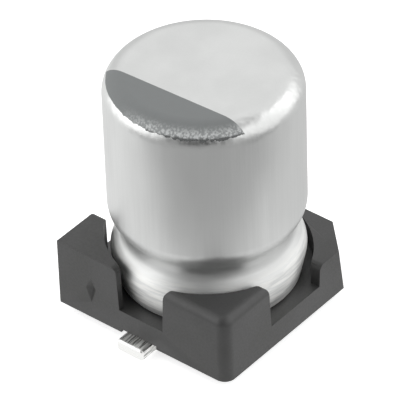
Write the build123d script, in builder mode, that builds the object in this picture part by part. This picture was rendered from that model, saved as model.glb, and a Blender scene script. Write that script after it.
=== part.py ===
"""Surface-mount aluminium electrolytic capacitor, 4 mm can on a 4.3 mm moulded seat.

All sizes are in millimetres. Z is up and 0 is the board that the two terminals stand on.
The terminals lie along X, the negative one towards -X, and the can's axis is Z.
"""

import math
import os

from build123d import *

# Terminals: tinned wire, coined flat below the bung and bent outwards under the seat
terminal_gap = 1.0
wire_diameter = 0.48
terminal_width = 0.66
terminal_thickness = 0.28
terminal_reach = 2.45
terminal_offset = 0.1
terminal_bend_radius = 0.1
terminal_edge_chamfer = 0.07
terminal_tip_chamfer = 0.04
weld_length = 0.08

# Seat: moulded plate with four corner posts around the can, tall ones on the negative side
seat_side = 4.3
plate_thickness = 0.55
tall_post_height = 1.57
low_post_height = 1.05
near_corner_radius = 0.25
cut_corner_leg = 0.53
cut_corner_slope = 0.14
end_gap_start = -0.53
end_gap_end = 0.58
near_side_gap_start = -0.72
far_side_gap_start = -0.92
side_gap_end = 0.83
gap_draft = 3.0
post_edge_radius = 0.2
post_end_radius = 0.14
channel_depth = 0.08
channel_width = 0.9
slot_clearance = 0.03
slot_funnel = 0.08
can_clearance = 0.1

# Can: one drawn aluminium cup, beaded into the bung and curled under it
can_diameter = 4.0
can_height = 4.92
can_wall = 0.22
shoulder_radius = 0.42
body_edge_height = 1.7
body_edge_radius = 0.6
bead_height = 1.25
bead_depth = 0.34
bead_radius = 0.2
bulge_height = 0.76
bulge_radius = 0.4
foot_inset = 0.16
foot_chamfer = 0.08
curl_width = 0.55
curl_lip_height = 0.4

# Printed band that marks the negative side
mark_thickness = 0.02
mark_chord = 0.95
mark_wrap_angle = 56.0

# Bung, and the two tabs whose bosses pass through it
bung_recess = 0.16
bung_height = 1.6
boss_diameter = 0.75
boss_rise = 0.12
tab_thickness = 0.15
tab_half_width = 0.28
tab_top_inset = 0.45

# Wound element: two foils and two papers rolled together, then taped
anode_thickness = 0.1
cathode_thickness = 0.05
paper_thickness = 0.05
tape_thickness = 0.06
layer_gap = 0.02
core_turns = 0.65
foil_turns = 2.25
paper_lead = 0.1
element_headroom = 0.25
paper_margin = 0.25
tape_height = 1.6
element_clearance = 0.1

can_radius = can_diameter / 2
seat_half = seat_side / 2
lead_x = (terminal_gap + terminal_thickness) / 2

# Levels above the board
seat_bottom = terminal_thickness - channel_depth
plate_top = seat_bottom + plate_thickness
low_top = seat_bottom + low_post_height
tall_top = seat_bottom + tall_post_height
can_top = plate_top + can_height
bung_bottom = plate_top + bung_recess
bung_top = bung_bottom + bung_height
boss_top = bung_top + boss_rise
element_bottom = boss_top + element_clearance
foil_bottom = element_bottom + paper_margin
foil_top = can_top - can_wall - element_headroom - paper_margin

os.makedirs("parts", exist_ok=True)


def at_level(shapes, level):
    """The faces or edges whose middle is at a height."""
    return shapes.filter_by(lambda shape: math.isclose(shape.center().Z, level, abs_tol=1e-4))


# Seat: one tall post has a rounded corner and the other a sharp one, both low posts have cut corners

slot_length = terminal_thickness + 2 * slot_clearance
slot_width = terminal_width + 2 * slot_clearance
channel_start = lead_x - slot_length / 2
channel_ceiling = seat_bottom + channel_depth


def gap_outline(start, end, start_top, end_top):
    """Outline of a gap between two posts: it widens upwards and its sides round over onto their tops."""
    lean = math.tan(math.radians(gap_draft))
    shoulder = 2 * post_end_radius
    left = start - lean * (start_top - plate_top)
    right = end + lean * (end_top - plate_top)
    left_points = [(left - shoulder, start_top), (left, start_top), (start, plate_top)]
    right_points = [(end, plate_top), (right, end_top), (right + shoulder, end_top)]
    FilletPolyline(*left_points, radius=post_end_radius)
    Line(left_points[-1], right_points[0])
    FilletPolyline(*right_points, radius=post_end_radius)
    above = tall_top + tall_post_height
    Polyline(right_points[-1], (right + shoulder, above), (left - shoulder, above), left_points[0])


with BuildPart() as seat:
    with BuildSketch(Plane.XY.offset(seat_bottom)):
        Rectangle(seat_side, seat_side)
    extrude(amount=low_post_height)
    with BuildSketch(Plane.XY.offset(seat_bottom)):
        Rectangle(seat_half, seat_half, align=Align.MAX)
    extrude(amount=tall_post_height)
    fillet(seat.edges().filter_by(Axis.Z).group_by(Axis.X)[0].sort_by(Axis.Y)[0], near_corner_radius)
    tall_rims = at_level(seat.edges(), tall_top)
    inset_side = post_edge_radius - seat_half
    outer_rims = tall_rims.filter_by(lambda edge: min(edge.center().X, edge.center().Y) < inset_side)
    fillet(outer_rims, post_edge_radius)
    with BuildSketch(Plane.XY.offset(seat_bottom)):
        Rectangle(seat_half, seat_half, align=(Align.MAX, Align.MIN))
    extrude(amount=tall_post_height)
    for side in (-1, 1):
        corner_foot = (seat_half - cut_corner_leg, side * seat_half, seat_bottom)
        split(bisect_by=Plane(corner_foot, z_dir=(1, side, cut_corner_slope)), keep=Keep.BOTTOM)

    # Well for the can
    with BuildSketch(Plane.XY.offset(plate_top)):
        Circle(can_radius + can_clearance)
    extrude(amount=tall_post_height, mode=Mode.SUBTRACT)

    # Gaps between the posts, from the axis out through each side
    for plane, reach, gap in (
        (Plane.YZ, -seat_side, (end_gap_start, end_gap_end, tall_top, tall_top)),
        (Plane.YZ, seat_side, (end_gap_start, end_gap_end, low_top, low_top)),
        (Plane.XZ, seat_side, (near_side_gap_start, side_gap_end, tall_top, low_top)),
        (Plane.XZ, -seat_side, (far_side_gap_start, side_gap_end, tall_top, low_top)),
    ):
        with BuildSketch(plane):
            with BuildLine():
                gap_outline(*gap)
            make_face()
        extrude(amount=reach, mode=Mode.SUBTRACT)

    # Channels under the plate, and the slots that the terminals come down through
    with BuildSketch(Plane.XY.offset(seat_bottom)):
        for side in (-1, 1):
            with Locations((side * (channel_start + seat_half) / 2, terminal_offset)):
                Rectangle(seat_half - channel_start, channel_width)
    extrude(amount=channel_depth, mode=Mode.SUBTRACT)
    with BuildSketch(Plane.XY.offset(channel_ceiling)):
        with Locations((-lead_x, terminal_offset), (lead_x, terminal_offset)):
            Rectangle(slot_length, slot_width)
    extrude(amount=plate_thickness, mode=Mode.SUBTRACT)
    ceiling_edges = at_level(seat.edges().filter_by(Axis.Y), channel_ceiling)
    bend_edges = ceiling_edges.filter_by(lambda edge: lead_x < abs(edge.center().X) < seat_half - 0.1)
    fillet(bend_edges, terminal_bend_radius)
    plate_face = at_level(seat.faces().filter_by(Axis.Z), plate_top).sort_by(SortBy.AREA)[-1]
    chamfer(plate_face.inner_wires().edges(), slot_funnel)
seat.part.label = "seat"
export_step(seat.part, "parts/seat.step")


# Can

bore_radius = can_radius - can_wall
shoulder_x = can_radius - shoulder_radius
shoulder_z = can_top - shoulder_radius
curl_x = can_radius - foot_inset - curl_width
lip_top = plate_top + curl_lip_height

# Wall from the foot up to the straight body, as inset from the body and height above the plate
wall_points = [
    (foot_inset, 0),
    (0, bulge_height),
    (bead_depth, bead_height),
    (0, body_edge_height),
]
outer_wall = [(can_radius - inset, plate_top + height) for inset, height in wall_points]
inner_wall = [(bore_radius - inset, plate_top + max(height, can_wall)) for inset, height in wall_points]
lip = [(curl_x + can_wall, plate_top + can_wall), (curl_x + can_wall, lip_top), (curl_x, lip_top)]
inner_shoulder_leg = (shoulder_radius - can_wall) * math.sqrt(0.5)

with BuildPart() as can:
    with BuildSketch(Plane.XZ):
        with BuildLine():
            FilletPolyline(
                *outer_wall,
                (can_radius, can_top),
                (0, can_top),
                radius=[bulge_radius, bead_radius, body_edge_radius, shoulder_radius],
            )
            Polyline(
                outer_wall[0],
                (curl_x, plate_top),
                *reversed(lip),
                *inner_wall,
                (bore_radius, shoulder_z),
                (shoulder_x + inner_shoulder_leg, shoulder_z + inner_shoulder_leg),
                (shoulder_x, can_top - can_wall),
                (0, can_top - can_wall),
                (0, can_top),
            )
        make_face()
    revolve(axis=Axis.Z)
    foot_edges = at_level(can.edges().filter_by(GeomType.CIRCLE), plate_top)
    chamfer(foot_edges.sort_by(SortBy.RADIUS)[-1], foot_chamfer)
can.part.label = "can"
export_step(can.part, "parts/can.step")


# Mark

mark_radius = shoulder_radius + mark_thickness
wrap_end = 90 - mark_wrap_angle

with BuildPart() as polarity_mark:
    with BuildSketch(Plane.XZ):
        with BuildLine():
            ink_under = CenterArc((shoulder_x, shoulder_z), shoulder_radius, wrap_end, mark_wrap_angle)
            ink_over = CenterArc((shoulder_x, shoulder_z), mark_radius, wrap_end, mark_wrap_angle)
            Line(ink_under @ 0, ink_over @ 0)
            Polyline(ink_under @ 1, (0, can_top), (0, can_top + mark_thickness), ink_over @ 1)
        make_face()
    revolve(axis=Axis.Z)
    split(bisect_by=Plane.YZ.offset(-mark_chord), keep=Keep.BOTTOM)
polarity_mark.part.label = "polarity_mark"
export_step(polarity_mark.part, "parts/polarity_mark.step")


# Bung, shaped by the inside of the can and by the bosses that it grips

with BuildPart() as rubber_bung:
    with BuildSketch(Plane.XZ):
        with BuildLine():
            Polyline(
                (0, bung_top),
                (0, bung_bottom),
                (curl_x, bung_bottom),
                *reversed(lip),
                *inner_wall,
                (bore_radius, bung_top),
                close=True,
            )
        make_face()
    revolve(axis=Axis.Z)
    with BuildSketch(Plane.XY.offset(bung_bottom)):
        with Locations((-lead_x, 0), (lead_x, 0)):
            Circle(boss_diameter / 2)
    extrude(amount=bung_height, mode=Mode.SUBTRACT)
rubber_bung.part.label = "rubber_bung"
export_step(rubber_bung.part, "parts/rubber_bung.step")


# Terminals

coined_top = bung_bottom - weld_length
terminal_level = terminal_thickness / 2
bend_line_radius = terminal_bend_radius + terminal_thickness / 2

with BuildPart() as positive_terminal:
    with BuildSketch(Plane.XY.offset(coined_top)):
        with Locations((lead_x, 0)):
            Circle(wire_diameter / 2)
    extrude(amount=bung_bottom - coined_top)
    with BuildLine(Plane.XZ.offset(-terminal_offset)) as lead_line:
        FilletPolyline(
            (lead_x, coined_top),
            (lead_x, terminal_level),
            (terminal_reach, terminal_level),
            radius=bend_line_radius,
        )
    with BuildSketch(Plane.XY.offset(coined_top)) as coined_section:
        with Locations((lead_x, terminal_offset)):
            Rectangle(terminal_thickness, terminal_width)
        chamfer(coined_section.vertices(), terminal_edge_chamfer)
    sweep(path=lead_line.line)
    tip = positive_terminal.faces().sort_by(Axis.X)[-1]
    chamfer(tip.edges(), terminal_tip_chamfer)
positive_terminal.part.label = "positive_terminal"
export_step(positive_terminal.part, "parts/positive_terminal.step")

with BuildPart() as negative_terminal:
    mirror(positive_terminal.part, about=Plane.YZ)
negative_terminal.part.label = "negative_terminal"
export_step(negative_terminal.part, "parts/negative_terminal.step")


# Wound element: radii below are those of a layer's middle at the anode tab, angles are in turns

layer_pitch = anode_thickness + cathode_thickness + 2 * paper_thickness + 4 * layer_gap
anode_radius = lead_x - tab_thickness / 2 - layer_gap - anode_thickness / 2
outer_paper_radius = anode_radius + anode_thickness / 2 + layer_gap + paper_thickness / 2
inner_paper_radius = anode_radius - anode_thickness / 2 - layer_gap - paper_thickness / 2
cathode_radius = outer_paper_radius + paper_thickness / 2 + layer_gap + cathode_thickness / 2
tape_radius = inner_paper_radius + paper_thickness / 2 + layer_gap + tape_thickness / 2
tab_swell = tab_thickness + layer_gap
tab_half_turn = tab_half_width / lead_x / (2 * math.pi)
steps_per_turn = 16


def layer_radius(radius, turns):
    """Radius of a layer after some turns, pushed out where it passes over one of the two tabs."""
    half_turn = round(2 * turns)
    if radius + layer_pitch * half_turn / 2 <= anode_radius + layer_gap:
        return radius + layer_pitch * turns
    aside = max(0, abs(turns - half_turn / 2) - tab_half_turn) / (0.25 - tab_half_turn)
    swell = tab_swell * (1 + math.cos(math.pi * aside)) / 2
    return radius + layer_pitch * turns + swell


def layer_points(radius, side, start, end):
    """Points along one face of a layer. All layers bend at the same angles, so they stay parallel."""
    first = math.floor(start * steps_per_turn) + 1
    last = math.ceil(end * steps_per_turn)
    points = []
    for turns in [start, *(step / steps_per_turn for step in range(first, last)), end]:
        reach = layer_radius(radius, turns) + side
        angle = 2 * math.pi * turns
        points.append((reach * math.cos(angle), reach * math.sin(angle)))
    return points


def layer_outline(radius, thickness, start, end, lift=0):
    """Closed outline, seen from above, of a layer or of a tab that is lifted off one."""
    inner_face = layer_points(radius, lift - thickness / 2, start, end)
    outer_face = layer_points(radius, lift + thickness / 2, start, end)
    Polyline(*inner_face, *reversed(outer_face), close=True)


foil_height = foil_top - foil_bottom
paper_height = foil_height + 2 * paper_margin
paper_end = foil_turns + paper_lead

with BuildPart() as anode_foil:
    with BuildSketch(Plane.XY.offset(foil_bottom)):
        with BuildLine():
            layer_outline(anode_radius, anode_thickness, -core_turns, foil_turns)
        make_face()
    extrude(amount=foil_height)
anode_foil.part.label = "anode_foil"
export_step(anode_foil.part, "parts/anode_foil.step")

with BuildPart() as cathode_foil:
    with BuildSketch(Plane.XY.offset(foil_bottom)):
        with BuildLine():
            layer_outline(cathode_radius, cathode_thickness, -core_turns, foil_turns)
        make_face()
    extrude(amount=foil_height)
cathode_foil.part.label = "cathode_foil"
export_step(cathode_foil.part, "parts/cathode_foil.step")

with BuildPart() as separator_outer:
    with BuildSketch(Plane.XY.offset(element_bottom)):
        with BuildLine():
            layer_outline(outer_paper_radius, paper_thickness, -core_turns - paper_lead, paper_end)
        make_face()
    extrude(amount=paper_height)
separator_outer.part.label = "separator_outer"
export_step(separator_outer.part, "parts/separator_outer.step")

with BuildPart() as separator_inner:
    with BuildSketch(Plane.XY.offset(element_bottom)):
        with BuildLine():
            layer_outline(inner_paper_radius, paper_thickness, -core_turns - paper_lead, paper_end + 1)
        make_face()
    extrude(amount=paper_height)
separator_inner.part.label = "separator_inner"
export_step(separator_inner.part, "parts/separator_inner.step")

with BuildPart() as winding_tape:
    with BuildSketch(Plane.XY.offset(element_bottom + (paper_height - tape_height) / 2)):
        with BuildLine():
            layer_outline(tape_radius, tape_thickness, paper_end + paper_lead, paper_end + 1)
        make_face()
    extrude(amount=tape_height)
winding_tape.part.label = "winding_tape"
export_step(winding_tape.part, "parts/winding_tape.step")


# Tabs: each flat lies against the outer face of its foil

anode_tab_lift = (anode_thickness + tab_thickness) / 2 + layer_gap
cathode_tab_lift = (cathode_thickness + tab_thickness) / 2 + layer_gap
anode_tab_span = (-tab_half_turn, tab_half_turn)
cathode_tab_span = (-tab_half_turn - 0.5, tab_half_turn - 0.5)

with BuildPart() as anode_tab:
    with BuildSketch(Plane.XY.offset(bung_bottom)):
        with Locations((lead_x, 0)):
            Circle(boss_diameter / 2)
    extrude(amount=boss_top - bung_bottom)
    with BuildSketch(Plane.XY.offset(boss_top)):
        with BuildLine():
            layer_outline(anode_radius, tab_thickness, *anode_tab_span, lift=anode_tab_lift)
        make_face()
    extrude(amount=foil_top - tab_top_inset - boss_top)
anode_tab.part.label = "anode_tab"
export_step(anode_tab.part, "parts/anode_tab.step")

with BuildPart() as cathode_tab:
    with BuildSketch(Plane.XY.offset(bung_bottom)):
        with Locations((-lead_x, 0)):
            Circle(boss_diameter / 2)
    extrude(amount=boss_top - bung_bottom)
    with BuildSketch(Plane.XY.offset(boss_top)):
        with BuildLine():
            layer_outline(cathode_radius, tab_thickness, *cathode_tab_span, lift=cathode_tab_lift)
        make_face()
    extrude(amount=foil_top - tab_top_inset - boss_top)
cathode_tab.part.label = "cathode_tab"
export_step(cathode_tab.part, "parts/cathode_tab.step")
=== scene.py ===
"""Dresses the surface-mount electrolytic capacitor: can, printed mark, moulded seat and tinned terminals.

Sizes in the classes are millimetres in the part's own frame, where the board is at a height of 0. Meshes
are made in millimetres and handed over in metres.
"""

import logging
import math
from dataclasses import dataclass
from enum import Enum

import bmesh
import bpy
from mathutils import Matrix, Vector, noise


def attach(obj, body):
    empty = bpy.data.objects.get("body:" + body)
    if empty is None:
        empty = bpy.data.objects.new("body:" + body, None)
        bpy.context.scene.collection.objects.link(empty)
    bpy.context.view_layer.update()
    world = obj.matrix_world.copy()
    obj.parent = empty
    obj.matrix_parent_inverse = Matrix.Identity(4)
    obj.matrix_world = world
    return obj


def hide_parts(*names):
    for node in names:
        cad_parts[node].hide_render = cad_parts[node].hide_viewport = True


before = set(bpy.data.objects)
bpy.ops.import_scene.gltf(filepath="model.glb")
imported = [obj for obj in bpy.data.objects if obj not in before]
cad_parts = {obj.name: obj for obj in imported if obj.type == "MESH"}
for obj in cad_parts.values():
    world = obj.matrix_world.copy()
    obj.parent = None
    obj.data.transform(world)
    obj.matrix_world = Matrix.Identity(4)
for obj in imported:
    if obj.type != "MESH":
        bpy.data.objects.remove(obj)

MM = 0.001
# Points closer than these, in millimetres, are welded, or count as being at the same place.
WELD = 1e-5
TOUCH = 1e-4
# A face looks up where its normal's height is above this.
LOOKS_UP = 0.9
QUARTER_TURN = 90.0
# The inputs of a Map Range node that a ramp fills, and its setting. A ramp without ends goes from 0 to 1.
RAMP = ("From Min", "From Max", "To Min", "To Max")
SMOOTH = {"interpolation_type": "SMOOTHSTEP"}
LOG = logging.getLogger("capacitor")

Mesh = bmesh.types.BMesh
Geometry = list[bmesh.types.BMVert | bmesh.types.BMEdge | bmesh.types.BMFace]
Span = tuple[float, float]
Size = tuple[float, float, float]
Ramp = tuple[float, float, float, float]
Colour = tuple[float, float, float, float]
Source = bpy.types.Node | bpy.types.NodeSocket | Vector | float | tuple[float, ...]


class Slot(Enum):
    """Material slots of the pieces, by name."""

    CAN = "can_aluminium"
    INK = "mark_ink"
    SEAT = "seat_plastic"
    TERMINAL = "terminal_tin"
    BUNG = "bung_rubber"
    TAB = "tab_aluminium"
    ANODE = "etched_foil"
    CATHODE = "plain_foil"
    PAPER = "separator_paper"
    TAPE = "tape_film"


def linear(hex_colour: str) -> Colour:
    """Turns an sRGB hex colour to the linear values that shaders take.

    Args:
        hex_colour: Six hex digits, such as "C8C9C9".

    Returns:
        Linear red, green, blue and an alpha of 1.
    """
    channels = [int(hex_colour[i : i + 2], 16) / 255 for i in (0, 2, 4)]
    red, green, blue = [c / 12.92 if c <= 0.04045 else ((c + 0.055) / 1.055) ** 2.4 for c in channels]
    return red, green, blue, 1.0


def add_node(
    tree: bpy.types.NodeTree, kind: str, inputs: dict[str | int, Source] | None = None, **settings: str
) -> bpy.types.Node:
    """Adds a shader node with its settings, input values and links.

    Args:
        tree: Node tree that gets the node.
        kind: Blender's name of the node type, without the ShaderNode in front.
        inputs: Name or number of an input, to its value or to the node or output that feeds it. A name
            means the input of that name that is in use, and a node feeds by its first output in use.
        **settings: Properties of the node, such as operation.

    Returns:
        The new node.
    """
    node = tree.nodes.new(f"ShaderNode{kind}")
    for name, value in settings.items():
        setattr(node, name, value)
    for name, value in (inputs or {}).items():
        number = isinstance(name, int)
        socket = node.inputs[name] if number else next(s for s in node.inputs if s.enabled and s.name == name)
        if isinstance(value, bpy.types.Node):
            value = next(s for s in value.outputs if s.enabled)
        if isinstance(value, bpy.types.NodeSocket):
            tree.links.new(value, socket)
        else:
            socket.default_value = value
    return node


def start_material(name: str) -> tuple[bpy.types.Material, bpy.types.NodeTree, bpy.types.NodeSocket]:
    """Makes a material that holds nothing but the object's coordinates.

    Args:
        name: Name of the finish.

    Returns:
        The material, its node tree and the Object coordinate output.
    """
    material = bpy.data.materials.new(name)
    material.use_nodes = True
    tree = material.node_tree
    tree.nodes.clear()
    return material, tree, add_node(tree, "TexCoord").outputs["Object"]


@dataclass(frozen=True)
class Grain:
    """A noise pattern: the real size of its spots along X, Y and Z, and its octaves of finer noise."""

    spot: Size
    detail: float = 3.0

    @property
    def scale(self) -> Size:
        """Scale of the coordinates, in metres, at which the spots have their size."""
        return tuple(1 / (length * MM) for length in self.spot)


@dataclass(frozen=True)
class DrawnAluminium:
    """Deep-drawn aluminium: a bright satin skin with fine lines along the draw and rolled lines in the bead.

    The lines are 0.035 mm wide, coarser than real ones, so that they show. The shoulder, where the sheet was
    drawn over the punch, is a little faceted, and the foot, where it was rolled and curled, is streaked.
    Below the bulge the metal is also painted lighter than the wall, a painted highlight.
    """

    light: str = "DADBDA"
    dark: str = "D4D5D4"
    # Painted highlight: these two tones, lighter than the wall's, brighten the foot and lower bulge; the
    # rolled streaks run between them.
    streak_highlight_light: str = "F2F2F0"
    streak_highlight_dark: str = "DFE0DF"
    roughness: float = 0.36
    rolled_roughness: float = 0.54
    wear: Ramp = (0.35, 0.65, -0.04, 0.05)
    cloud_edges: Span = (0.3, 0.7)
    streak_edges: Span = (0.42, 0.58)
    drawn_lines: Grain = Grain((0.035, 0.035, 2.1), 2)
    rolled_lines: Grain = Grain((0.672, 0.672, 0.056))
    clouds: Grain = Grain((0.9, 0.9, 2.25), 2)
    dents: Grain = Grain((1.3, 1.3, 2.08), 1)
    facets: Grain = Grain((0.28, 0.28, 0.28), 1)
    line_depth: float = 0.0012
    dent_depth: float = 0.03
    facet_depth: float = 0.02
    facet_middle: float = 0.5
    bulge: Span = (1.5, 1.9)
    bead: Span = (2.3, 2.7)
    shoulder_foot: Span = (5.15, 5.35)
    top_edge: Span = (5.62, 5.667)

    def material(self) -> bpy.types.Material:
        """Builds the finish from the bottom up: streaked foot with a painted highlight, rolled bead, drawn
        wall, faceted shoulder.

        Returns:
            The material.
        """
        material, tree, place = start_material("drawn_aluminium")
        height = add_node(tree, "SeparateXYZ", {"Vector": place}).outputs["Z"]
        above_bulge, above_bead, above_wall, on_top = (
            add_node(tree, "MapRange", {"Value": height, **dict(zip(RAMP, (low * MM, high * MM)))}, **SMOOTH)
            for low, high in (self.bulge, self.bead, self.shoulder_foot, self.top_edge)
        )
        drawn, rolled, clouds, dents, facets = (
            add_node(tree, "TexNoise", {"Vector": spots, "Scale": 1.0, "Detail": grain.detail})
            for grain in (self.drawn_lines, self.rolled_lines, self.clouds, self.dents, self.facets)
            for spots in [add_node(tree, "Mapping", {"Vector": place, "Scale": grain.scale})]
        )
        lines = add_node(tree, "Mix", {"Factor": above_bead, "A": rolled, "B": drawn}, data_type="FLOAT")
        tone, streak, wear = (
            add_node(tree, "MapRange", {"Value": value, **dict(zip(RAMP, edges))}, **SMOOTH)
            for value, edges in ((clouds, self.cloud_edges), (lines, self.streak_edges), (lines, self.wear))
        )
        # The foot's tones are a painted highlight on the lower bulge, with the rolled streaks in them.
        shades = ((streak, self.streak_highlight_dark, self.streak_highlight_light), (tone, self.dark, self.light))
        foot, wall = (
            add_node(tree, "Mix", {"Factor": share, "A": linear(dark), "B": linear(light)}, data_type="RGBA")
            for share, dark, light in shades
        )
        metal = add_node(tree, "Mix", {"Factor": above_bulge, "A": foot, "B": wall}, data_type="RGBA")
        satin = {"Factor": above_bead, "A": self.rolled_roughness, "B": self.roughness}
        worn = add_node(tree, "Math", {0: add_node(tree, "Mix", satin, data_type="FLOAT"), 1: wear})
        facets = add_node(tree, "Math", {0: facets, 1: self.facet_middle}, operation="SUBTRACT")
        facets = add_node(tree, "Math", {0: facets, 1: above_wall}, operation="MULTIPLY")
        facets = add_node(tree, "Mix", {"Factor": on_top, "A": facets, "B": 0.0}, data_type="FLOAT")
        relief = add_node(tree, "Bump", {"Height": dents, "Distance": self.dent_depth * MM})
        for level, depth in ((facets, self.facet_depth), (lines, self.line_depth)):
            relief = add_node(tree, "Bump", {"Height": level, "Distance": depth * MM, "Normal": relief})
        finish = {"Base Color": metal, "Metallic": 1.0, "Roughness": worn, "Normal": relief}
        add_node(tree, "OutputMaterial", {"Surface": add_node(tree, "BsdfPrincipled", finish)})
        return material


@dataclass(frozen=True)
class PrintedInk:
    """Stamped grey ink: a flat film that thins to specks of bare metal at its lower edge, along which a dark
    band is painted shade.

    The specks are 0.05 mm, coarser than real ones, so that they show.
    """

    light: str = "808383"
    dark: str = "777A7A"
    thin_colour: str = "CCCECE"
    # Painted shade: this dark tone, in a band along the film's lower edge, stands in for the shade of its
    # turned-down edge.
    rim_shade_colour: str = "606262"
    mottle: Grain = Grain((0.12, 0.12, 0.12), 4)
    specks: Grain = Grain((0.05, 0.05, 0.05))
    waves: Grain = Grain((0.1, 0.1, 0.1), 2)
    wave_height: float = 0.06
    sag: Span = (0.7, -0.3)
    shoulder: Span = (5.66, 5.52)
    # Heights of the painted shade band along the film's lower edge.
    rim_shade: Span = (5.53, 5.49)
    fleck: Ramp = (0.42, 0.6, 0.3, 1.0)
    roughness: Ramp = (0.3, 0.7, 0.5, 0.62)
    mottle_depth: float = 0.002
    speck_depth: float = 0.012

    def material(self) -> bpy.types.Material:
        """Builds the finish: even grey on top, speckled where it thins over the shoulder, with painted shade
        in a dark band at its rim.

        Returns:
            The material.
        """
        material, tree, place = start_material("printed_ink")
        axes = add_node(tree, "SeparateXYZ", {"Vector": place}).outputs
        mottle, specks, waves = (
            add_node(tree, "TexNoise", {"Vector": spots, "Scale": 1.0, "Detail": grain.detail})
            for grain in (self.mottle, self.specks, self.waves)
            for spots in [add_node(tree, "Mapping", {"Vector": place, "Scale": grain.scale})]
        )
        wavy = {0: waves, 1: self.wave_height * MM, 2: axes["Z"]}
        level = add_node(tree, "Math", wavy, operation="MULTIPLY_ADD")
        sagged, over, rim_shade = (
            add_node(tree, "MapRange", {"Value": value, **dict(zip(RAMP, (low * MM, high * MM)))}, **SMOOTH)
            for value, (low, high) in ((axes["Y"], self.sag), (axes["Z"], self.shoulder), (level, self.rim_shade))
        )
        fleck, rough = (
            add_node(tree, "MapRange", {"Value": value, **dict(zip(RAMP, edges))}, **SMOOTH)
            for value, edges in ((specks, self.fleck), (mottle, self.roughness))
        )
        thin = add_node(tree, "Math", {0: sagged, 1: over}, operation="MULTIPLY")
        thin = add_node(tree, "Math", {0: thin, 1: fleck}, operation="MULTIPLY")
        film = linear(self.dark)
        # The last tone is painted shade along the rim.
        for share, colour in ((mottle, self.light), (thin, self.thin_colour), (rim_shade, self.rim_shade_colour)):
            film = add_node(tree, "Mix", {"Factor": share, "A": film, "B": linear(colour)}, data_type="RGBA")
        uneven = add_node(tree, "Math", {0: specks, 1: over}, operation="MULTIPLY")
        smear = add_node(tree, "Bump", {"Height": mottle, "Distance": self.mottle_depth * MM})
        specked = {"Height": uneven, "Distance": self.speck_depth * MM, "Normal": smear}
        relief = add_node(tree, "Bump", specked)
        finish = {"Base Color": film, "Roughness": rough, "Normal": relief}
        add_node(tree, "OutputMaterial", {"Surface": add_node(tree, "BsdfPrincipled", finish)})
        return material


@dataclass(frozen=True)
class MouldedPlastic:
    """Injection-moulded black polyphthalamide: dull dark grey with an even spark-eroded grain.

    The grain is drawn at 0.05 mm, coarser than the mould's, so that it shows.
    """

    light: str = "3E3E3E"
    dark: str = "383837"
    ior: float = 1.6
    roughness: Ramp = (0.3, 0.7, 0.43, 0.54)
    flow_edges: Span = (0.35, 0.65)
    sparks: Grain = Grain((0.05, 0.05, 0.05))
    flow: Grain = Grain((1.1, 1.1, 1.1), 2)
    depth: float = 0.0015

    def material(self) -> bpy.types.Material:
        """Builds the finish: faint flow marks under the grain.

        Returns:
            The material.
        """
        material, tree, place = start_material("moulded_plastic")
        sparks, flow = (
            add_node(tree, "TexNoise", {"Vector": spots, "Scale": 1.0, "Detail": grain.detail})
            for grain in (self.sparks, self.flow)
            for spots in [add_node(tree, "Mapping", {"Vector": place, "Scale": grain.scale})]
        )
        tone, rough = (
            add_node(tree, "MapRange", {"Value": value, **dict(zip(RAMP, edges))}, **SMOOTH)
            for value, edges in ((flow, self.flow_edges), (sparks, self.roughness))
        )
        shades = {"Factor": tone, "A": linear(self.dark), "B": linear(self.light)}
        finish = {
            "Base Color": add_node(tree, "Mix", shades, data_type="RGBA"),
            "Roughness": rough,
            "IOR": self.ior,
            "Normal": add_node(tree, "Bump", {"Height": sparks, "Distance": self.depth * MM}),
        }
        add_node(tree, "OutputMaterial", {"Surface": add_node(tree, "BsdfPrincipled", finish)})
        return material


@dataclass(frozen=True)
class TinPlate:
    """Matt tin on steel wire: pale grey metal with lines from the coining rolls.

    The lines are 0.03 mm wide, coarser than real ones, so that they show.
    """

    # The light tone is the lines' pale tone and also the painted highlight on the strip's outer end.
    light: str = "F8F8F6"
    dark: str = "A0A09E"
    lines: Grain = Grain((0.42, 0.03, 0.03))
    line_edges: Span = (0.35, 0.65)
    roughness: Ramp = (0.3, 0.7, 0.24, 0.4)
    # Painted highlight: from this reach out along X the strip's end is painted plain light.
    tip: Span = (2.38, 2.42)
    depth: float = 0.0012

    def material(self) -> bpy.types.Material:
        """Builds the finish: the lines run along the strip and stop at its outer end, which is painted plain
        light as a painted highlight.

        Returns:
            The material.
        """
        material, tree, place = start_material("tin_plate")
        spots = add_node(tree, "Mapping", {"Vector": place, "Scale": self.lines.scale})
        lines = add_node(tree, "TexNoise", {"Vector": spots, "Scale": 1.0, "Detail": self.lines.detail})
        across = add_node(tree, "SeparateXYZ", {"Vector": place}).outputs["X"]
        reach = add_node(tree, "Math", {0: across}, operation="ABSOLUTE")
        tip = tuple(edge * MM for edge in self.tip)
        # The first ramp paints the strip's outer end plain light, a painted highlight.
        painted_tip_highlight, streak, rough = (
            add_node(tree, "MapRange", {"Value": value, **dict(zip(RAMP, edges))}, **SMOOTH)
            for value, edges in ((reach, tip), (lines, self.line_edges), (lines, self.roughness))
        )
        bright = add_node(tree, "Math", {0: streak, 1: painted_tip_highlight})
        tone = add_node(tree, "MapRange", {"Value": bright}, **SMOOTH)
        shades = {"Factor": tone, "A": linear(self.dark), "B": linear(self.light)}
        finish = {
            "Base Color": add_node(tree, "Mix", shades, data_type="RGBA"),
            "Metallic": 1.0,
            "Roughness": rough,
            "Normal": add_node(tree, "Bump", {"Height": tone, "Distance": self.depth * MM}),
        }
        add_node(tree, "OutputMaterial", {"Surface": add_node(tree, "BsdfPrincipled", finish)})
        return material


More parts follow.
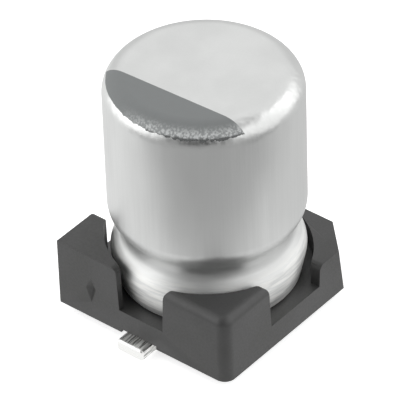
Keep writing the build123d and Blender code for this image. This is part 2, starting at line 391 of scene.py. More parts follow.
@dataclass(frozen=True)
class SpottedFinish:
    """A plain finish of one inner piece: two near tones in soft spots, with a fine bump."""

    name: str
    light: str
    dark: str
    roughness: float
    spots: Grain
    metallic: float = 0.0
    depth: float = 0.002
    spot_edges: Span = (0.35, 0.65)

    def material(self) -> bpy.types.Material:
        """Builds the finish from its two tones and the size of its spots.

        Returns:
            The material.
        """
        material, tree, place = start_material(self.name)
        sized = add_node(tree, "Mapping", {"Vector": place, "Scale": self.spots.scale})
        spots = add_node(tree, "TexNoise", {"Vector": sized, "Scale": 1.0, "Detail": self.spots.detail})
        tone = add_node(tree, "MapRange", {"Value": spots, **dict(zip(RAMP, self.spot_edges))}, **SMOOTH)
        shades = {"Factor": tone, "A": linear(self.dark), "B": linear(self.light)}
        finish = {
            "Base Color": add_node(tree, "Mix", shades, data_type="RGBA"),
            "Metallic": self.metallic,
            "Roughness": self.roughness,
            "Normal": add_node(tree, "Bump", {"Height": spots, "Distance": self.depth * MM}),
        }
        add_node(tree, "OutputMaterial", {"Surface": add_node(tree, "BsdfPrincipled", finish)})
        return material


def shade_smooth(mesh: Mesh, crisp_angle: float) -> None:
    """Shades a mesh smooth, apart from its sharp edges.

    Args:
        mesh: The mesh.
        crisp_angle: Edges at least this sharp, in degrees, stay crisp.
    """
    for face in mesh.faces:
        face.smooth = True
    for edge in mesh.edges:
        edge.smooth = len(edge.link_faces) == 2 and edge.calc_face_angle(0) < math.radians(crisp_angle)


def finish_object(mesh: Mesh, name: str, crisp_angle: float = 35.0) -> bpy.types.Object:
    """Scales a bmesh from millimetres to metres and links it to the scene as an object.

    Args:
        mesh: Mesh in millimetres; it is freed.
        name: Name of the piece.
        crisp_angle: Edges at least this sharp, in degrees, stay crisp.

    Returns:
        The new object, at the origin.
    """
    bmesh.ops.remove_doubles(mesh, verts=mesh.verts, dist=WELD)
    bmesh.ops.recalc_face_normals(mesh, faces=mesh.faces)
    bmesh.ops.scale(mesh, vec=(MM, MM, MM), verts=mesh.verts)
    shade_smooth(mesh, crisp_angle)
    data = bpy.data.meshes.new(name)
    mesh.to_mesh(data)
    mesh.free()
    piece = bpy.data.objects.new(name, data)
    bpy.context.scene.collection.objects.link(piece)
    return piece


def apply_modifiers(piece: bpy.types.Object) -> None:
    """Puts what the modifiers make into the piece's own mesh.

    Args:
        piece: The piece, which keeps no modifier.
    """
    bpy.context.view_layer.update()
    graph = bpy.context.evaluated_depsgraph_get()
    data = bpy.data.meshes.new_from_object(piece.evaluated_get(graph))
    old = piece.data
    piece.modifiers.clear()
    piece.data = data
    bpy.data.meshes.remove(old)


def hand_over(piece: bpy.types.Object, material: bpy.types.Material, node: str = "") -> None:
    """Dresses a piece, and puts a new piece on the part's body in the place of its CAD node.

    Args:
        piece: Piece of the visual model.
        material: Its finish.
        node: CAD node that a new piece replaces; empty for a CAD node, which keeps its own place.
    """
    if node:
        piece.data.materials.append(material)
        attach(piece, "root")
        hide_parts(node)
    else:
        for place in piece.material_slots:
            place.material = material
    LOG.info("%s: %s, %d faces", piece.name, material.name, len(piece.data.polygons))


def round_corners(points: list[Span], radii: list[float], steps: int = 12) -> list[Vector]:
    """Rounds the inner corners of an open line of points.

    Args:
        points: Corners in the plane, first and last included.
        radii: One radius for each inner corner, 0 to leave it sharp.
        steps: Segments for each rounding.

    Returns:
        Points along the rounded line.
    """
    corners = [Vector(p) for p in points]
    line = [corners[0]]
    for before, corner, after, radius in zip(corners, corners[1:], corners[2:], radii):
        if radius == 0:
            line.append(corner)
            continue
        back, on = (before - corner).normalized(), (after - corner).normalized()
        half = back.angle(on) / 2
        centre = corner + (back + on).normalized() * radius / math.sin(half)
        start = corner + back * radius / math.tan(half) - centre
        end = corner + on * radius / math.tan(half) - centre
        spread = start.angle(end)
        for step in range(steps + 1):
            share = step / steps
            arm = (start * math.sin((1 - share) * spread) + end * math.sin(share * spread)) / math.sin(spread)
            line.append(centre + arm)
    line.append(corners[-1])
    return line


def spin_line(line: list[Vector], steps: int) -> Mesh:
    """Spins a line of radius and height points round the Z axis.

    Args:
        line: Points as (radius, height) in millimetres.
        steps: Segments of the full turn.

    Returns:
        The spun shell.
    """
    mesh = bmesh.new()
    verts = [mesh.verts.new((point.x, 0, point.y)) for point in line]
    edges = [mesh.edges.new(pair) for pair in zip(verts, verts[1:])]
    turn = {"cent": (0, 0, 0), "axis": (0, 0, 1), "angle": math.tau}
    bmesh.ops.spin(mesh, geom=verts + edges, steps=steps, use_merge=True, **turn)
    bmesh.ops.remove_doubles(mesh, verts=mesh.verts, dist=WELD)
    bmesh.ops.recalc_face_normals(mesh, faces=mesh.faces)
    return mesh


def make_box(low: Size, high: Size) -> Mesh:
    """Makes a box between two corners.

    Args:
        low: Its lowest corner, in millimetres.
        high: Its highest corner.

    Returns:
        The box.
    """
    mesh = bmesh.new()
    bmesh.ops.create_cube(mesh, size=1)
    bmesh.ops.scale(mesh, vec=Vector(high) - Vector(low), verts=mesh.verts)
    bmesh.ops.translate(mesh, vec=(Vector(high) + Vector(low)) / 2, verts=mesh.verts)
    return mesh


def pull_out(mesh: Mesh, by: Vector) -> Mesh:
    """Pulls a flat face out to a closed prism.

    Args:
        mesh: Mesh that holds the face.
        by: How far, in millimetres.

    Returns:
        The same mesh.
    """
    grown = bmesh.ops.extrude_face_region(mesh, geom=mesh.faces[:], use_keep_orig=True)["geom"]
    moved = [v for v in grown if isinstance(v, bmesh.types.BMVert)]
    bmesh.ops.translate(mesh, vec=by, verts=moved)
    bmesh.ops.recalc_face_normals(mesh, faces=mesh.faces)
    return mesh


def round_edges(mesh: Mesh, edges: list[bmesh.types.BMEdge], radius: float, steps: int) -> None:
    """Rounds edges of a mesh.

    Args:
        mesh: The mesh.
        edges: Edges to round.
        radius: Radius in millimetres.
        steps: Segments of the rounding.
    """
    bmesh.ops.bevel(mesh, geom=edges, offset=radius, segments=steps, profile=0.5, affect="EDGES", material=-1)


@dataclass
class Can:
    """Drawn cup with a rolled bead and a curled foot, and the mark printed on its top.

    The mark's sizes say where its straight edge lies, how it is turned, how many degrees of the shoulder it
    covers at its even and at its sagged end, and how its lower edge frays: fray_noise holds the fall-off,
    lacunarity and octaves of a fractal, and fray and sagged_fray the degrees that it moves the edge.
    """

    radius: float = 2.0
    foot: float = 0.75
    top: float = 5.67
    wall: float = 0.22
    shoulder: float = 0.46
    foot_inset: float = 0.16
    bulge_height: float = 0.76
    bead_height: float = 1.25
    bead_depth: float = 0.34
    edge_height: float = 1.7
    curl_width: float = 0.55
    lip_height: float = 0.4
    edge_rounding: float = 0.6
    bead_rounding: float = 0.34
    bulge_rounding: float = 0.4
    foot_rounding: float = 0.12
    outer_steps: int = 16
    inner_steps: int = 8
    turn_steps: int = 256
    crisp_angle: float = 50.0
    mark_thickness: float = 0.02
    mark_chord: float = 0.95
    mark_turn: float = 2.0
    mark_wrap: Span = (50.0, 61.0)
    mark_steps: int = 1024
    sag_start: float = 0.5
    fray_waves: float = 22.0
    fray_noise: tuple[float, float, int] = (0.6, 2.3, 4)
    fray_seed: Span = (0.3, 0.7)
    fray: float = 1.0
    sagged_fray: float = 4.5

    def outer_line(self, lift: float = 0.0) -> list[Vector]:
        """Outer face from the axis on top down to the foot.

        Args:
            lift: Distance to stand off the can's skin, in millimetres.

        Returns:
            Points as (radius, height).
        """
        corners = [
            (0, self.top + lift),
            (self.radius + lift, self.top + lift),
            (self.radius + lift, self.foot + self.edge_height),
            (self.radius - self.bead_depth, self.foot + self.bead_height),
            (self.radius, self.foot + self.bulge_height),
            (self.radius - self.foot_inset, self.foot),
            (self.radius - self.foot_inset - self.curl_width, self.foot),
        ]
        low_radii = [self.edge_rounding, self.bead_rounding, self.bulge_rounding, self.foot_rounding]
        return round_corners(corners, [self.shoulder + lift, *low_radii], self.outer_steps)

    def inner_line(self) -> list[Vector]:
        """Inner face from the curled lip up to the axis.

        Returns:
            Points as (radius, height).
        """
        bore = self.radius - self.wall
        curl = self.radius - self.foot_inset - self.curl_width
        floor = self.foot + self.wall
        corners = [
            (curl, self.foot),
            (curl, self.foot + self.lip_height),
            (curl + self.wall, self.foot + self.lip_height),
            (curl + self.wall, floor),
            (bore - self.foot_inset, floor),
            (bore, self.foot + self.bulge_height),
            (bore - self.bead_depth, self.foot + self.bead_height),
            (bore, self.foot + self.edge_height),
            (bore, self.top - self.wall),
            (0, self.top - self.wall),
        ]
        sharp = [0.0] * (len(corners) - 3)
        return round_corners(corners, [*sharp, self.shoulder - self.wall], self.inner_steps)

    def cup(self) -> bpy.types.Object:
        """Spins both faces of the sheet to one closed cup."""
        line = self.outer_line() + self.inner_line()[1:]
        return finish_object(spin_line(line, self.turn_steps), "can_shell", self.crisp_angle)

    def film(self, lift: float) -> list[Vector]:
        """Skin from the axis to the end of the shoulder.

        Args:
            lift: Distance to stand off the can's skin, in millimetres.

        Returns:
            Points as (radius, height).
        """
        end = self.top - self.shoulder
        return [point for point in self.outer_line(lift) if point.y > end - WELD]

    def ink_reach(self, around: float) -> float:
        """How far the ink goes down the shoulder: it sags and frays towards the near end of the mark.

        Args:
            around: Place round the mark, from -1 at its near end to 1 at its far end.

        Returns:
            Share of the quarter turn from the top to the wall.
        """
        even, sagged = self.mark_wrap
        sag = min(1.0, max(0.0, self.sag_start - around))
        frayed = noise.fractal(Vector((around * self.fray_waves, *self.fray_seed)), *self.fray_noise)
        return (even + (sagged - even) * sag + frayed * (self.fray + self.sagged_fray * sag)) / QUARTER_TURN

    def mark(self) -> bpy.types.Object:
        """Spins the ink film over the shoulder, draws its rim back, then cuts it along its straight edge.

        Returns:
            The film.
        """
        mesh = spin_line(self.film(self.mark_thickness) + self.film(0)[::-1], self.mark_steps)
        bend = Vector((self.radius - self.shoulder, self.top - self.shoulder))
        for vert in mesh.verts:
            out = Vector((vert.co.x, vert.co.y))
            if out.length < bend.x + WELD or vert.co.x > 0:
                continue
            arm = Vector((out.length, vert.co.z)) - bend
            turned = math.atan2(arm.x, arm.y) * self.ink_reach(vert.co.y / self.radius)
            out = out.normalized() * (bend.x + arm.length * math.sin(turned))
            vert.co = (out.x, out.y, bend.y + arm.length * math.cos(turned))
        turn = math.radians(self.mark_turn)
        bmesh.ops.bisect_plane(
            mesh,
            geom=[*mesh.verts, *mesh.edges, *mesh.faces],
            plane_co=(-self.mark_chord, 0, 0),
            plane_no=(math.cos(turn), math.sin(turn), 0),
            clear_outer=True,
        )
        rim = [edge for edge in mesh.edges if edge.is_boundary]
        bmesh.ops.holes_fill(mesh, edges=rim, sides=0)
        return finish_object(mesh, "mark_film", self.crisp_angle)

    def build(self) -> None:
        """Makes and dresses the cup and its mark."""
        hand_over(self.cup(), DrawnAluminium().material(), "can")
        hand_over(self.mark(), PrintedInk().material(), "polarity_mark")


@dataclass(frozen=True)
class Gap:
    """A gap between two posts: where it starts and ends along its side, and the two posts' tops."""

    start: float
    end: float
    start_top: float
    end_top: float
    along: Vector
    out: Vector


@dataclass
class Seat:
    """Moulded plate with four corner posts, two cut corners, and slots and channels for the terminals."""

    side: float = 4.3
    bottom: float = 0.2
    plate: float = 0.55
    tall: float = 1.57
    low: float = 1.05
    post_split: float = 0.1
    near_corner_radius: float = 0.25
    rim_radius: float = 0.2
    corner_steps: int = 10
    cut_leg: float = 0.53
    cut_slope: float = 0.14
    well_radius: float = 2.1
    well_steps: int = 192
    end_gap_start: float = -0.53
    end_gap_end: float = 0.58
    near_gap_start: float = -0.72
    far_gap_start: float = -0.92
    side_gap_end: float = 0.83
    draft: float = 3.0
    post_end_radius: float = 0.14
    post_end_run: float = 0.56
    channel_depth: float = 0.08
    channel_width: float = 0.9
    terminal_offset: float = 0.1
    slot_centre: float = 0.64
    slot_length: float = 0.34
    slot_width: float = 0.72
    dimple_middle: Span = (1.3, 0.93)
    dimple_half: Span = (0.13, 0.32)
    dimple_depth: float = 0.09
    edge_radius: float = 0.03
    edge_angle: float = 40.0
    edge_steps: int = 3
    crisp_angle: float = 35.0

    @property
    def half(self) -> float:
        """Half of the seat's side."""
        return self.side / 2

    @property
    def floor(self) -> float:
        """Level of the plate's top."""
        return self.bottom + self.plate

    def block(self) -> Mesh:
        """Makes the low block with its two tall posts, which the well and the gaps are cut from.

        Returns:
            The block in millimetres.
        """
        mesh = make_box((-self.half, -self.half, self.bottom), (self.half, self.half, self.bottom + self.low))
        x, y = Vector((1, 0, 0)), Vector((0, 1, 0))
        for place, normal in ((Vector(), x), (-self.post_split * y, y), (self.post_split * y, y)):
            bmesh.ops.bisect_plane(
                mesh, geom=[*mesh.verts, *mesh.edges, *mesh.faces], plane_co=place, plane_no=normal
            )
        above = [f for f in mesh.faces if f.normal.z > LOOKS_UP]
        raised = [f for f in above if self.is_tall_post(f.calc_center_median())]
        grown = bmesh.ops.extrude_face_region(mesh, geom=raised)["geom"]
        bmesh.ops.delete(mesh, geom=raised, context="FACES")
        lifted = [v for v in grown if isinstance(v, bmesh.types.BMVert)]
        bmesh.ops.translate(mesh, vec=(0, 0, self.tall - self.low), verts=lifted)
        corner = Vector((-self.half, -self.half))
        uprights = [e for e in mesh.edges if all((v.co.to_2d() - corner).length < TOUCH for v in e.verts)]
        round_edges(mesh, uprights, self.near_corner_radius, self.corner_steps)
        for side in (-1, 1):
            self.cut_corner(mesh, side)
        rim = [e for e in mesh.edges if self.is_near_rim(e)]
        round_edges(mesh, rim, self.rim_radius, self.corner_steps)
        return mesh

    def is_tall_post(self, point: Vector) -> bool:
        """Whether a point is above one of the two tall posts."""
        return point.x < 0 and abs(point.y) > self.post_split

    def is_near_rim(self, edge: bmesh.types.BMEdge) -> bool:
        """Finds the top outer rim of the post with the rounded corner.

        Args:
            edge: Edge of the block.

        Returns:
            Whether the edge is on that rim.
        """
        middle = (edge.verts[0].co + edge.verts[1].co) / 2
        level = all(abs(v.co.z - self.bottom - self.tall) < TOUCH for v in edge.verts)
        return level and max(middle.x, middle.y) < 0 and min(middle.x, middle.y) < self.rim_radius - self.half

    def cut_corner(self, mesh: Mesh, side: int) -> None:
        """Cuts one corner on the positive side with a plane that leans in.

        Args:
            mesh: The block.
            side: -1 or 1, the corner's side in Y.
        """
        cut = bmesh.ops.bisect_plane(
            mesh,
            geom=[*mesh.verts, *mesh.edges, *mesh.faces],
            plane_co=(self.half - self.cut_leg, side * self.half, self.bottom),
            plane_no=(1, side, self.cut_slope),
            clear_outer=True,
        )
        rim = [e for e in cut["geom_cut"] if isinstance(e, bmesh.types.BMEdge)]
        bmesh.ops.contextual_create(mesh, geom=rim)
        bmesh.ops.recalc_face_normals(mesh, faces=mesh.faces)

    def gaps(self) -> list[Gap]:
        """Places the gaps between the posts.

        Returns:
            The four gaps, in the order -X, +X, -Y, +Y.
        """
        x, y = Vector((1, 0, 0)), Vector((0, 1, 0))
        tall, low = self.bottom + self.tall, self.bottom + self.low
        return [
            Gap(self.end_gap_start, self.end_gap_end, tall, tall, y, -x),
            Gap(self.end_gap_start, self.end_gap_end, low, low, y, x),
            Gap(self.near_gap_start, self.side_gap_end, tall, low, x, -y),
            Gap(self.far_gap_start, self.side_gap_end, tall, low, x, y),
        ]

    def gap_tool(self, gap: Gap) -> Mesh:
        """Prism that clears a gap: it widens upwards and rounds the ends of both posts.

        Args:
            gap: The gap.

        Returns:
            The prism in millimetres.
        """
        lean = math.tan(math.radians(self.draft))
        run = self.post_end_run
        left = gap.start - lean * (gap.start_top - self.floor)
        right = gap.end + lean * (gap.end_top - self.floor)
        left_side = [(left - run, gap.start_top), (left, gap.start_top), (gap.start, self.floor)]
        right_side = [(gap.end, self.floor), (right, gap.end_top), (right + run, gap.end_top)]
        outline = round_corners(left_side, [self.post_end_radius])[1:]
        outline += round_corners(right_side, [self.post_end_radius])[:-1]
        outline += [Vector((outline[-1].x, 2 * gap.end_top)), Vector((outline[0].x, 2 * gap.start_top))]
        mesh = bmesh.new()
        mesh.faces.new([mesh.verts.new(gap.along * p.x + Vector((0, 0, p.y))) for p in outline])
        return pull_out(mesh, gap.out * self.side)

    def well_tool(self) -> Mesh:
        """Makes the cylinder that leaves room for the can.

        Returns:
            The cylinder in millimetres.
        """
        mesh = bmesh.new()
        bmesh.ops.create_circle(mesh, cap_ends=True, segments=self.well_steps, radius=self.well_radius)
        bmesh.ops.translate(mesh, vec=(0, 0, self.floor), verts=mesh.verts)
        return pull_out(mesh, Vector((0, 0, self.tall)))

    def dimple_tool(self) -> Mesh:
        """Makes two pyramids, base to base, that press a small diamond in the end face, beside the gap.

        Returns:
            The pyramids in millimetres.
        """
        mesh = bmesh.new()
        middle = Vector((-self.half, *self.dimple_middle))
        across, height = Vector((0, self.dimple_half[0], 0)), Vector((0, 0, self.dimple_half[1]))
        rim = [mesh.verts.new(middle + arm) for arm in (across, height, -across, -height)]
        for end in (-self.dimple_depth, self.dimple_depth):
            point = mesh.verts.new(middle + Vector((end, 0, 0)))
            for pair in zip(rim, rim[1:] + rim[:1]):
                mesh.faces.new([*pair, point])
        bmesh.ops.recalc_face_normals(mesh, faces=mesh.faces)
        return mesh

    def tools(self) -> list[Mesh]:
        """Makes all the shapes that are cut out of the block.

        Returns:
            The closed shapes, in millimetres.
        """
        shapes = [self.well_tool(), self.dimple_tool(), *(self.gap_tool(gap) for gap in self.gaps())]
        start, end = self.slot_centre - self.slot_length / 2, self.slot_centre + self.slot_length / 2
        ceiling = self.bottom + self.channel_depth
        cuts = ((self.channel_width, self.side, ceiling), (self.slot_width, end, self.tall))
        for side in (-1, 1):
            for width, stop, top in cuts:
                near, far = sorted((side * start, side * stop))
                low = (near, self.terminal_offset - width / 2, 0)
                shapes.append(make_box(low, (far, self.terminal_offset + width / 2, top)))
        return shapes

    def build(self) -> None:
        """Cuts the block, rounds what stays sharp and dresses it."""
        piece = finish_object(self.block(), "seat_moulding", self.crisp_angle)
        for shape in self.tools():
            cutter = finish_object(shape, "seat_tool")
            cut = piece.modifiers.new("cut", "BOOLEAN")
            cut.operation, cut.solver, cut.object = "DIFFERENCE", "EXACT", cutter
            apply_modifiers(piece)
            bpy.data.objects.remove(cutter)
        soften = piece.modifiers.new("soften", "BEVEL")
        soften.limit_method, soften.angle_limit = "ANGLE", math.radians(self.edge_angle)
        soften.width, soften.segments, soften.profile = self.edge_radius * MM, self.edge_steps, 0.5
        apply_modifiers(piece)
        mesh = bmesh.new()
        mesh.from_mesh(piece.data)
        shade_smooth(mesh, self.crisp_angle)
        mesh.to_mesh(piece.data)
        mesh.free()
        hand_over(piece, MouldedPlastic().material(), "seat")


@dataclass
class Terminal:
    """Tinned wire, coined flat and bent outwards under the seat."""

    leg: float = 0.64
    offset: float = 0.1
    width: float = 0.66
    thickness: float = 0.28
    reach: float = 2.45
    bend: float = 0.1
    bend_steps: int = 10
    edge: float = 0.07
    edge_steps: int = 4
    tip: float = 0.05
    tip_steps: int = 3
    coined_top: float = 0.83
    coined_end: float = 0.03
    wire_top: float = 0.91
    wire_diameter: float = 0.48
    wire_spread: float = 0.6
    crisp_angle: float = 40.0

    def strip(self, side: int) -> Mesh:
        """Pulls the flat section from the tip, round the bend and up to the wire.

        Args:
            side: -1 for the negative terminal, 1 for the positive one.

        Returns:
            The terminal in millimetres.
        """
        bend_x = self.leg + self.thickness / 2 + self.bend
        near, far = self.offset - self.width / 2, self.offset + self.width / 2
        mesh = make_box((bend_x, near, 0), (self.reach, far, self.thickness))
        long_edges = [e for e in mesh.edges if abs(e.verts[0].co.x - e.verts[1].co.x) > TOUCH]
        round_edges(mesh, long_edges, self.edge, self.edge_steps)
        tip_face = max(mesh.faces, key=lambda f: f.calc_center_median().x)
        round_edges(mesh, tip_face.edges[:], self.tip, self.tip_steps)
        root_face = min(mesh.faces, key=lambda f: f.calc_center_median().x)
        turned = bmesh.ops.spin(
            mesh,
            geom=[root_face, *root_face.edges, *root_face.verts],
            cent=(bend_x, self.offset, self.thickness + self.bend),
            axis=(0, 1, 0),
            angle=math.pi / 2,
            steps=self.bend_steps,
            use_merge=False,
        )["geom_last"]
        flat = self.extend(mesh, turned, self.coined_top)
        wire = self.extend(mesh, flat, self.coined_top + self.coined_end)
        self.make_round(wire)
        self.extend(mesh, wire, self.wire_top)
        if side < 0:
            bmesh.ops.scale(mesh, vec=(-1, 1, 1), verts=mesh.verts)
        bmesh.ops.recalc_face_normals(mesh, faces=mesh.faces)
        return mesh

    def extend(self, mesh: Mesh, geom: Geometry, height: float) -> Geometry:
        """Pulls the end face straight up to a height.

        Args:
            mesh: The terminal.
            geom: The end face with its edges and vertices.
            height: Height above the board to reach.

        Returns:
            The new end face with its edges and vertices.
        """
        face = [g for g in geom if isinstance(g, bmesh.types.BMFace)]
        grown = bmesh.ops.extrude_face_region(mesh, geom=face)["geom"]
        bmesh.ops.delete(mesh, geom=face, context="FACES_ONLY")
        for vert in grown:
            if isinstance(vert, bmesh.types.BMVert):
                vert.co.z = height
        return grown

    def make_round(self, geom: Geometry) -> None:
        """Moves the end face's corners to the round wire, pressed together so that they spread round it.

        Args:
            geom: The end face with its edges and vertices.
        """
        for vert in geom:
            if isinstance(vert, bmesh.types.BMVert):
                across = (vert.co.y - self.offset) * self.wire_spread
                arm = Vector((vert.co.x - self.leg, across)).normalized() * self.wire_diameter / 2
                vert.co.x, vert.co.y = self.leg + arm.x, arm.y

    def build(self) -> None:
        """Makes and dresses both terminals."""
        tin = TinPlate().material()
        for side, name in ((-1, "negative_terminal"), (1, "positive_terminal")):
            piece = finish_object(self.strip(side), name.replace("terminal", "lead"), self.crisp_angle)
            hand_over(piece, tin, name)


@dataclass
class SealedPieces:
    """Pieces inside the can, which keep their solids and get their own finishes."""

    def build(self) -> None:
        """Dresses the bung, the tabs, the foils, the papers and the tape.

        Rubber and paper are dull, the etched foil is duller than the plain one, rolled metal has its grain
        along its height, and the polyester tape is smooth and amber.
        """
        crumb, rolled, etch = Grain((0.15, 0.15, 0.15)), Grain((0.06, 0.06, 0.48)), Grain((0.04, 0.04, 0.04))
        fine_rolled, fibre, film = Grain((0.05, 0.05, 0.4)), Grain((0.08, 0.08, 0.08)), Grain((0.4, 0.4, 0.4))
        rubber = SpottedFinish("butyl_rubber", "262626", "1B1B1B", 0.62, crumb)
        tab = SpottedFinish("bare_aluminium", "C6C7C8", "B4B5B6", 0.32, rolled, 1.0)
        etched = SpottedFinish("etched_aluminium_foil", "8C8D8E", "7A7B7C", 0.7, etch, 1.0)
        plain = SpottedFinish("cathode_aluminium_foil", "B9BABB", "A6A7A8", 0.45, fine_rolled, 1.0)
        paper = SpottedFinish("capacitor_paper", "CDB98C", "B9A373", 0.8, fibre, depth=0.004)
        tape = SpottedFinish("polyester_tape", "B79C58", "A78C4A", 0.35, film)
        dress = {
            "rubber_bung": (Slot.BUNG, rubber),
            "anode_tab": (Slot.TAB, tab),
            "cathode_tab": (Slot.TAB, tab),
            "anode_foil": (Slot.ANODE, etched),
            "cathode_foil": (Slot.CATHODE, plain),
            "separator_inner": (Slot.PAPER, paper),
            "separator_outer": (Slot.PAPER, paper),
            "winding_tape": (Slot.TAPE, tape),
        }
        made = {finish: finish.material() for finish in (rubber, tab, etched, plain, paper, tape)}
        for node, (slot, finish) in dress.items():
            hand_over(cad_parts[node], made[finish])


@dataclass(frozen=True)
class Softbox:
    """A soft lamp: how far right, ahead and up it stands, its width and height, and its watts."""

    name: str
    place: Size
    size: Span
    watts: float


@dataclass
class Studio:
    """White table and surroundings, two soft lamps, and the camera at the photograph's view.

    What metal mirrors is lit from behind: table and wall are bright there and fall off towards the front
    and the right, with a shade where the lens stands and along the horizon. Turns are degrees from the
    camera's side, positive to its right, and the floor's lights are each a turn and a ramp over millimetres.
    """

    focal: float = 4396.4
    frame_size: float = 400.0
    sensor: float = 36.0
    clip: Span = (0.001, 10.0)
    distance: float = 88.787
    elevation: float = 39.376
    azimuth: float = -49.921
    roll: float = -1.96
    centre: Span = (210.45, 288.023)
    target_height: float = 0.2
    lamp_target_height: float = 3.0
    lamps: tuple[Softbox, ...] = (
        Softbox("left_softbox", (-75, 8, 28), (110, 64), 0.03),
        Softbox("right_softbox", (68, 17, 42), (170, 88), 0.05),
    )
    white: str = "FFFFFF"
    floor_size: float = 400.0
    floor_colour: str = "E6E6E6"
    floor_roughness: float = 0.9
    floor_glow: float = 0.7
    floor_lights: tuple[tuple[float, Ramp], ...] = (
        (0.0, (2.7, 6.3, 1.0, 0.47)),
        (120.0, (2.0, 5.0, 1.0, 0.78)),
    )
    wall_turn: float = 13.0
    wall_light: Ramp = (-0.15, 0.25, 1.06, 0.3)
    lens_height: float = 5.0
    lens_light: Ramp = (0.86, 0.97, 1.0, 0.05)
    horizon_light: Ramp = (0.2, 0.55, 0.7, 1.0)

    def axes(self) -> tuple[Vector, Vector, Vector]:
        """Works out the measured view, before it is aimed at the frame's middle.

        Returns:
            Its right, up and back.
        """
        azimuth, elevation, roll = (math.radians(a) for a in (self.azimuth, self.elevation, self.roll))
        back = Vector((
            math.sin(azimuth) * math.cos(elevation),
            -math.cos(azimuth) * math.cos(elevation),
            math.sin(elevation),
        ))
        right = Vector((math.cos(azimuth), math.sin(azimuth), 0))
        up = back.cross(right)
        return (
            right * math.cos(roll) + up * math.sin(roll),
            up * math.cos(roll) - right * math.sin(roll),
            back,
        )

    def add_camera(self) -> None:
        """Puts the camera where the photograph was taken from, aimed so that it needs no shift."""
        right, up, back = self.axes()
        half = self.frame_size / 2
        aim = right * (half - self.centre[0]) - up * (half - self.centre[1]) - back * self.focal
        look_back = -aim.normalized()
        level = (right - look_back * right.dot(look_back)).normalized()
        data = bpy.data.cameras.new("photo_camera")
        data.sensor_width = self.sensor
        data.lens = self.focal / self.frame_size * self.sensor
        data.clip_start, data.clip_end = self.clip
        camera = bpy.data.objects.new("photo_camera", data)
        eye = (Vector((0, 0, self.target_height)) + back * self.distance) * MM
        turn = Matrix((level, look_back.cross(level), look_back)).transposed()
        camera.matrix_world = Matrix.Translation(eye) @ turn.to_4x4()
        bpy.context.scene.collection.objects.link(camera)
        bpy.context.scene.camera = camera

    def add_lamp(self, softbox: Softbox) -> None:
        """Adds a softbox that faces the part.

        Args:
            softbox: The softbox, placed from the camera's point of view.
        """
        right, _, back = self.axes()
        ahead = Vector((back.x, back.y, 0)).normalized()
        place = right * softbox.place[0] + ahead * softbox.place[1] + Vector((0, 0, softbox.place[2]))
        data = bpy.data.lights.new(softbox.name, "AREA")
        data.shape, data.energy = "RECTANGLE", softbox.watts
        data.size, data.size_y = (length * MM for length in softbox.size)
        lamp = bpy.data.objects.new(softbox.name, data)
        lamp.location = place * MM
        lamp.rotation_mode = "QUATERNION"
        lamp.rotation_quaternion = (place - Vector((0, 0, self.lamp_target_height))).to_track_quat("Z", "Y")
        bpy.context.scene.collection.objects.link(lamp)

    def side_of_room(self, turn: float) -> Vector:
        """Finds the level direction towards one side of the room.

        Args:
            turn: Degrees from the camera's side, positive to its right.

        Returns:
            The direction.
        """
        side = math.radians(self.azimuth + turn)
        return Vector((math.sin(side), -math.cos(side), 0))

    def add_floor(self) -> None:
        """Adds the white table, which glows to the camera and mirrors in metal as lit from behind."""
        mesh = bmesh.new()
        bmesh.ops.create_grid(mesh, x_segments=1, y_segments=1, size=self.floor_size)
        floor = finish_object(mesh, "table")
        material, tree, place = start_material("white_table")
        rays = add_node(tree, "LightPath").outputs
        matt = {"Base Color": linear(self.floor_colour), "Roughness": self.floor_roughness}
        seen = add_node(tree, "Math", {0: rays["Is Camera Ray"], 1: self.floor_glow}, operation="MULTIPLY")
        glow = add_node(tree, "Emission", {"Color": linear(self.white), "Strength": seen})
        table = add_node(tree, "AddShader", {0: add_node(tree, "BsdfPrincipled", matt), 1: glow})
        level = 1.0
        for turn, light in self.floor_lights:
            way = self.side_of_room(turn) / MM
            reach = add_node(tree, "VectorMath", {0: place, 1: way}, operation="DOT_PRODUCT")
            share = add_node(tree, "MapRange", {"Value": reach, **dict(zip(RAMP, light))}, **SMOOTH)
            level = add_node(tree, "Math", {0: level, 1: share}, operation="MULTIPLY")
        mirrored = add_node(tree, "Emission", {"Color": linear(self.white), "Strength": level})
        mixed = add_node(tree, "MixShader", {0: rays["Is Glossy Ray"], 1: table, 2: mirrored})
        add_node(tree, "OutputMaterial", {"Surface": mixed})
        floor.data.materials.append(material)

    def add_world(self) -> None:
        """Makes the surroundings white to the camera, and to all else a bright wall behind the part."""
        world = bpy.data.worlds.new("studio")
        world.use_nodes = True
        tree = world.node_tree
        tree.nodes.clear()
        way = add_node(tree, "TexCoord").outputs["Generated"]
        tilt = math.radians(self.lens_height)
        lens = self.axes()[2].to_2d().normalized().to_3d() * math.cos(tilt) + Vector((0, 0, math.sin(tilt)))
        front, near = (
            add_node(tree, "VectorMath", {0: way, 1: side}, operation="DOT_PRODUCT")
            for side in (self.side_of_room(self.wall_turn), lens)
        )
        rise = add_node(tree, "SeparateXYZ", {"Vector": way}).outputs["Z"]
        lights = ((front, self.wall_light), (near, self.lens_light), (rise, self.horizon_light))
        level = 1.0
        for value, light in lights:
            share = add_node(tree, "MapRange", {"Value": value, **dict(zip(RAMP, light))}, **SMOOTH)
            level = add_node(tree, "Math", {0: level, 1: share}, operation="MULTIPLY")
        seen = add_node(tree, "LightPath").outputs["Is Camera Ray"]
        strength = add_node(tree, "Mix", {"Factor": seen, "A": level, "B": 1.0}, data_type="FLOAT")
        sky = add_node(tree, "Background", {"Color": linear(self.white), "Strength": strength})
        add_node(tree, "OutputWorld", {"Surface": sky})
        bpy.context.scene.world = world

    def build(self) -> None:
        """Sets up the table, the surroundings, the camera and the lamps."""
        bpy.context.scene.view_settings.view_transform = "Standard"
        self.add_floor()
        self.add_world()
        self.add_camera()
        for softbox in self.lamps:
            self.add_lamp(softbox)


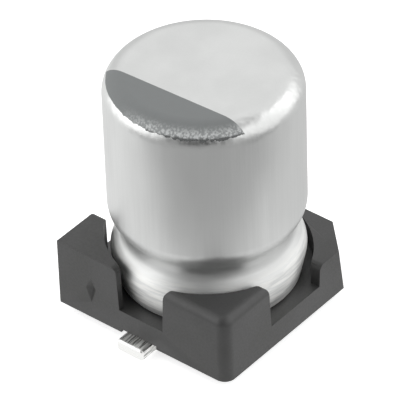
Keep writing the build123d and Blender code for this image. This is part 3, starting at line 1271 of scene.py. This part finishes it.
def main() -> None:
    """Builds the part's visual model and the studio."""
    logging.basicConfig(level=logging.INFO)
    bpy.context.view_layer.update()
    for assembly in (Can(), Seat(), Terminal(), SealedPieces(), Studio()):
        assembly.build()


if __name__ == "__main__":
    main()
